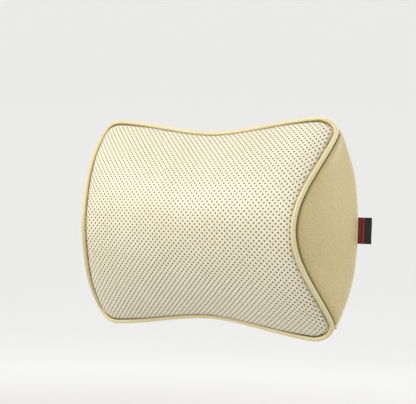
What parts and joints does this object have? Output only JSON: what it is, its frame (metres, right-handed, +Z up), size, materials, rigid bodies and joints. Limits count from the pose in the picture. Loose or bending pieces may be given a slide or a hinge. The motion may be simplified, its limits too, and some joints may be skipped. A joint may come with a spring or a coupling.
{
  "type": "headrest neck pillow",
  "caption": "Bone-shaped foam neck pillow in a piped leather cover, held to a headrest by an elastic strap with a side-release buckle.",
  "frame": {"origin": "centre of the flat rear face, which bears on the headrest", "axes": "+Z up, +X along the length to the wearer's left when leaning on it, +Y out of the rear face towards the headrest; the padded front faces -Y"},
  "size_m": [0.3021, 0.155, 0.2102],
  "materials": {
    "memory_foam": "open-cell memory foam",
    "knitted_liner": "fine white knit",
    "perforated_leather": "perforated, fine grain, satin",
    "cream_leather": "fine pebble grain, satin",
    "piping_leather": "smooth, satin",
    "zip_tape": "woven polyester",
    "nylon_coil": "moulded nylon",
    "plated_zinc": "nickel plated",
    "black_webbing": "woven elastic",
    "black_acetal": "moulded, satin",
    "black_label": "woven ribbon"
  },
  "bodies": {
    "cushion": {"foam_core": "memory_foam", "inner_liner": "knitted_liner", "front_panel": "perforated_leather", "end_panel_left": "cream_leather", "end_panel_right": "cream_leather", "rear_panel_upper": "cream_leather", "rear_panel_lower": "cream_leather", "front_piping": "piping_leather", "rear_piping_left": "piping_leather", "rear_piping_right": "piping_leather", "zip_tape_upper": "zip_tape", "zip_tape_lower": "zip_tape", "zip_coil_upper": "nylon_coil", "zip_coil_lower": "nylon_coil", "zip_stop_upper": "plated_zinc", "zip_stop_lower": "plated_zinc", "zip_bottom_stop": "plated_zinc", "strap_left": "black_webbing", "strap_right": "black_webbing", "strap_tab_left": "cream_leather", "strap_tab_right": "cream_leather", "buckle_socket": "black_acetal", "side_label": "black_label"},
    "plug": {"buckle_plug": "black_acetal"},
    "arm_upper": {"latch_arm_upper": "black_acetal"},
    "arm_lower": {"latch_arm_lower": "black_acetal"},
    "adjuster": {"strap_adjuster": "black_acetal"},
    "slider": {"zip_slider": "plated_zinc"},
    "pull": {"zip_pull": "plated_zinc"}
  },
  "joints": [
    {"name": "buckle_release", "type": "slide", "parent": "cushion", "child": "plug", "axis": [1, 0, 0], "range_m": [0, 0.03], "deforming": ["strap_right", "latch_arm_upper", "latch_arm_lower"]},
    {"name": "latch_squeeze_upper", "type": "hinge", "parent": "plug", "child": "arm_upper", "pos_m": [0.0043, 0.058, 0.0097], "axis": [0, -1, 0], "range_deg": [0, 12], "stiffness_Nm_per_rad": 0.01},
    {"name": "latch_squeeze_lower", "type": "hinge", "parent": "plug", "child": "arm_lower", "pos_m": [0.0043, 0.058, -0.0097], "axis": [0, 1, 0], "range_deg": [0, 12], "stiffness_Nm_per_rad": 0.01},
    {"name": "strap_adjust", "type": "slide", "parent": "plug", "child": "adjuster", "axis": [1, 0, 0], "range_m": [-0.01, 0.002], "deforming": ["strap_right"]},
    {"name": "zip_travel", "type": "slide", "parent": "cushion", "child": "slider", "axis": [1, 0, 0], "range_m": [-0.231, 0], "deforming": ["zip_tape_upper", "zip_tape_lower", "zip_coil_upper", "zip_coil_lower"]},
    {"name": "zip_pull_swing", "type": "hinge", "parent": "slider", "child": "pull", "pos_m": [0.118, 0.00234, -0.025], "axis": [0, 0, -1], "range_deg": [0, 165]}
  ],
  "couplings": [
    {"joint": "latch_squeeze_lower", "follows": "latch_squeeze_upper", "ratio": 1}
  ]
}
